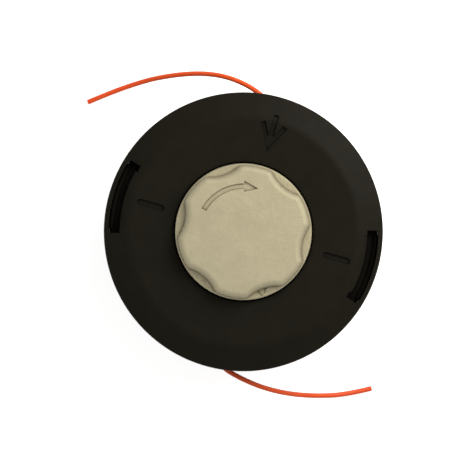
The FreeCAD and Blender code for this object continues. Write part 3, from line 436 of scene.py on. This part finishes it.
def open_rims(mesh):
    """The vertices round the two ends of the open bore, each in order of angle."""
    rim = {vert for edge in mesh.edges if edge.is_boundary for vert in edge.verts}
    middle = (THREAD_START + THREAD_END) / 2
    foot = sorted((vert for vert in rim if vert.co.z < middle), key=turn_of)
    head = sorted((vert for vert in rim if vert.co.z > middle), key=turn_of)
    return foot, head


def thread_ring(mesh, foot, height):
    """New vertices of the threaded bore at a height, one above each of the foot's."""
    ring = []
    for vert in foot:
        turn = turn_of(vert)
        radius = thread_radius(turn, height)
        angle = 2 * math.pi * turn
        ring.append(mesh.verts.new((
            radius * math.cos(angle), radius * math.sin(angle), height)))
    return ring


def threaded_nut(material):
    """The arbor nut with its left-hand thread in place of the plain bore."""
    mesh = bmesh.new()
    mesh.from_mesh(frame["nodes"]["arbor_nut"].data)
    bmesh.ops.remove_doubles(mesh, verts=mesh.verts, dist=SAME_PLACE)

    def on_bore(face):
        return all(abs(vert.co.xy.length - THREAD_CORE) < ON_CORE for vert in face.verts)

    bmesh.ops.delete(mesh, geom=[face for face in mesh.faces if on_bore(face)],
                     context="FACES")
    foot, head = open_rims(mesh)
    rows = round((THREAD_END - THREAD_START) / THREAD_PITCH * THREAD_ROWS_PER_TURN)
    rings = [foot]
    for row in range(1, rows):
        height = THREAD_START + (THREAD_END - THREAD_START) * row / rows
        rings.append(thread_ring(mesh, foot, height))
    rings.append(head)
    for below, above in zip(rings, rings[1:]):
        for column in range(len(foot)):
            after = (column + 1) % len(foot)
            mesh.faces.new((below[after], below[column], above[column], above[after]))
    data = bpy.data.meshes.new("arbor_nut_threaded")
    mesh.to_mesh(data)
    mesh.free()
    piece = new_piece("arbor_nut_threaded", data, "housing", material)
    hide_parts("arbor_nut")


def springy_coils(material):
    """The bump spring, as a piece of its own on its seat; it is not shortened here as the
    knob is pressed.
    """
    data = frame["nodes"]["bump_spring"].data.copy()
    piece = new_piece("bump_spring_coils", data, "spring_seat", material)
    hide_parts("bump_spring")
    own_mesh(piece)


def cast_ridges(material):
    """The two small ridges that the mould left on the knob's flange."""
    mesh = bmesh.new()
    for start, end in CAST_RIDGES:
        start = Vector(start) * MM
        end = Vector(end) * MM
        along = (end - start).normalized()
        across = Vector((-along.y, along.x)) * RIDGE_HALF_WIDTH
        foot = FLANGE_FACE - RIDGE_SINK
        top = FLANGE_FACE + RIDGE_HEIGHT
        corners = [start + across, start - across, end - across, end + across]
        low = [mesh.verts.new((*corner, foot)) for corner in corners]
        crest = [mesh.verts.new((*point, top)) for point in (start, end)]
        mesh.faces.new((low[0], low[3], crest[1], crest[0]))
        mesh.faces.new((low[2], low[1], crest[0], crest[1]))
        mesh.faces.new((low[1], low[0], crest[0]))
        mesh.faces.new((low[3], low[2], crest[1]))
        mesh.faces.new(list(reversed(low)))
    bmesh.ops.recalc_face_normals(mesh, faces=mesh.faces)
    data = bpy.data.meshes.new("cast_ridges")
    mesh.to_mesh(data)
    mesh.free()
    new_piece("cast_ridges", data, "spool", material)


def make_camera():
    """The photograph's view: straight down on the knob."""
    data = bpy.data.cameras.new("camera")
    data.lens = CAMERA_LENS
    data.sensor_width = CAMERA_SENSOR
    data.clip_start = CAMERA_CLIP_START
    data.clip_end = CAMERA_CLIP_END
    camera = bpy.data.objects.new("camera", data)
    camera.location = (*CAMERA_AIM, CAMERA_HEIGHT)
    bpy.context.scene.collection.objects.link(camera)
    bpy.context.scene.camera = camera


def make_key_lamp():
    """The soft lamp, aimed at the part."""
    data = bpy.data.lights.new("key_lamp", "AREA")
    data.size = KEY_SIZE
    data.energy = KEY_POWER
    data.color = KEY_COLOUR
    lamp = bpy.data.objects.new("key_lamp", data)
    lamp.location = KEY_PLACE
    direction = Vector(KEY_TARGET) - Vector(KEY_PLACE)
    lamp.rotation_euler = direction.to_track_quat("-Z", "Y").to_euler()
    bpy.context.scene.collection.objects.link(lamp)


def seen_directly(tree):
    """1 for what the camera sees, also by reflection or through clear matter, else 0."""
    path = tree.nodes.new("ShaderNodeLightPath")
    total = path.outputs["Is Camera Ray"]
    for kind in ("Is Glossy Ray", "Is Transmission Ray"):
        either = tree.nodes.new("ShaderNodeMath")
        either.operation = "MAXIMUM"
        tree.links.new(total, either.inputs[0])
        tree.links.new(path.outputs[kind], either.inputs[1])
        total = either.outputs["Value"]
    return total


def make_world():
    """A plain world that shows as white and lights matte surfaces dimly."""
    world = bpy.data.worlds.new("studio")
    world.use_nodes = True
    tree = world.node_tree
    plain = tree.nodes["Background"]
    plain.inputs["Color"].default_value = WORLD_COLOUR
    strength = scaled(tree, seen_directly(tree), low=WORLD_LIGHT, high=1.0)
    tree.links.new(strength, plain.inputs["Strength"])
    bpy.context.scene.world = world


def make_floor():
    """A plain pale floor that keeps the shadow, white from above and clear from below."""
    mesh = bpy.data.meshes.new("floor")
    corners = [(-1, -1), (1, -1), (1, 1), (-1, 1)]
    mesh.from_pydata(
        [(across * FLOOR_HALF, up * FLOOR_HALF, -FLOOR_DROP) for across, up in corners],
        [], [(0, 1, 2, 3)])
    floor = bpy.data.objects.new("floor", mesh)
    bpy.context.scene.collection.objects.link(floor)
    material, shader = new_material("floor")
    shader.inputs["Base Color"].default_value = FLOOR_COLOUR
    shader.inputs["Roughness"].default_value = FLOOR_ROUGHNESS
    tree = material.node_tree
    glow = scaled(tree, seen_directly(tree), low=0.0, high=FLOOR_GLOW)
    tree.links.new(glow, shader.inputs["Emission Strength"])
    shader.inputs["Emission Color"].default_value = (1.0, 1.0, 1.0, 1.0)
    clear = tree.nodes.new("ShaderNodeBsdfTransparent")
    from_below = tree.nodes.new("ShaderNodeMixShader")
    tree.links.new(tree.nodes.new("ShaderNodeNewGeometry").outputs["Backfacing"],
                   from_below.inputs["Fac"])
    tree.links.new(shader.outputs["BSDF"], from_below.inputs[1])
    tree.links.new(clear.outputs["BSDF"], from_below.inputs[2])
    tree.links.new(from_below.outputs["Shader"],
                   tree.nodes["Material Output"].inputs["Surface"])
    mesh.materials.append(material)


materials = make_materials()
dress_nodes(materials)
line_end("line_end_front", LINE_END_FRONT, materials["nylon_line"])
line_end("line_end_rear", LINE_END_REAR, materials["nylon_line"])
threaded_nut(materials["plated_steel"])
springy_coils(materials["spring_steel"])
cast_ridges(materials["cast_aluminium"])
make_camera()
make_key_lamp()
make_world()
make_floor()
bpy.context.scene.view_settings.view_transform = "Standard"
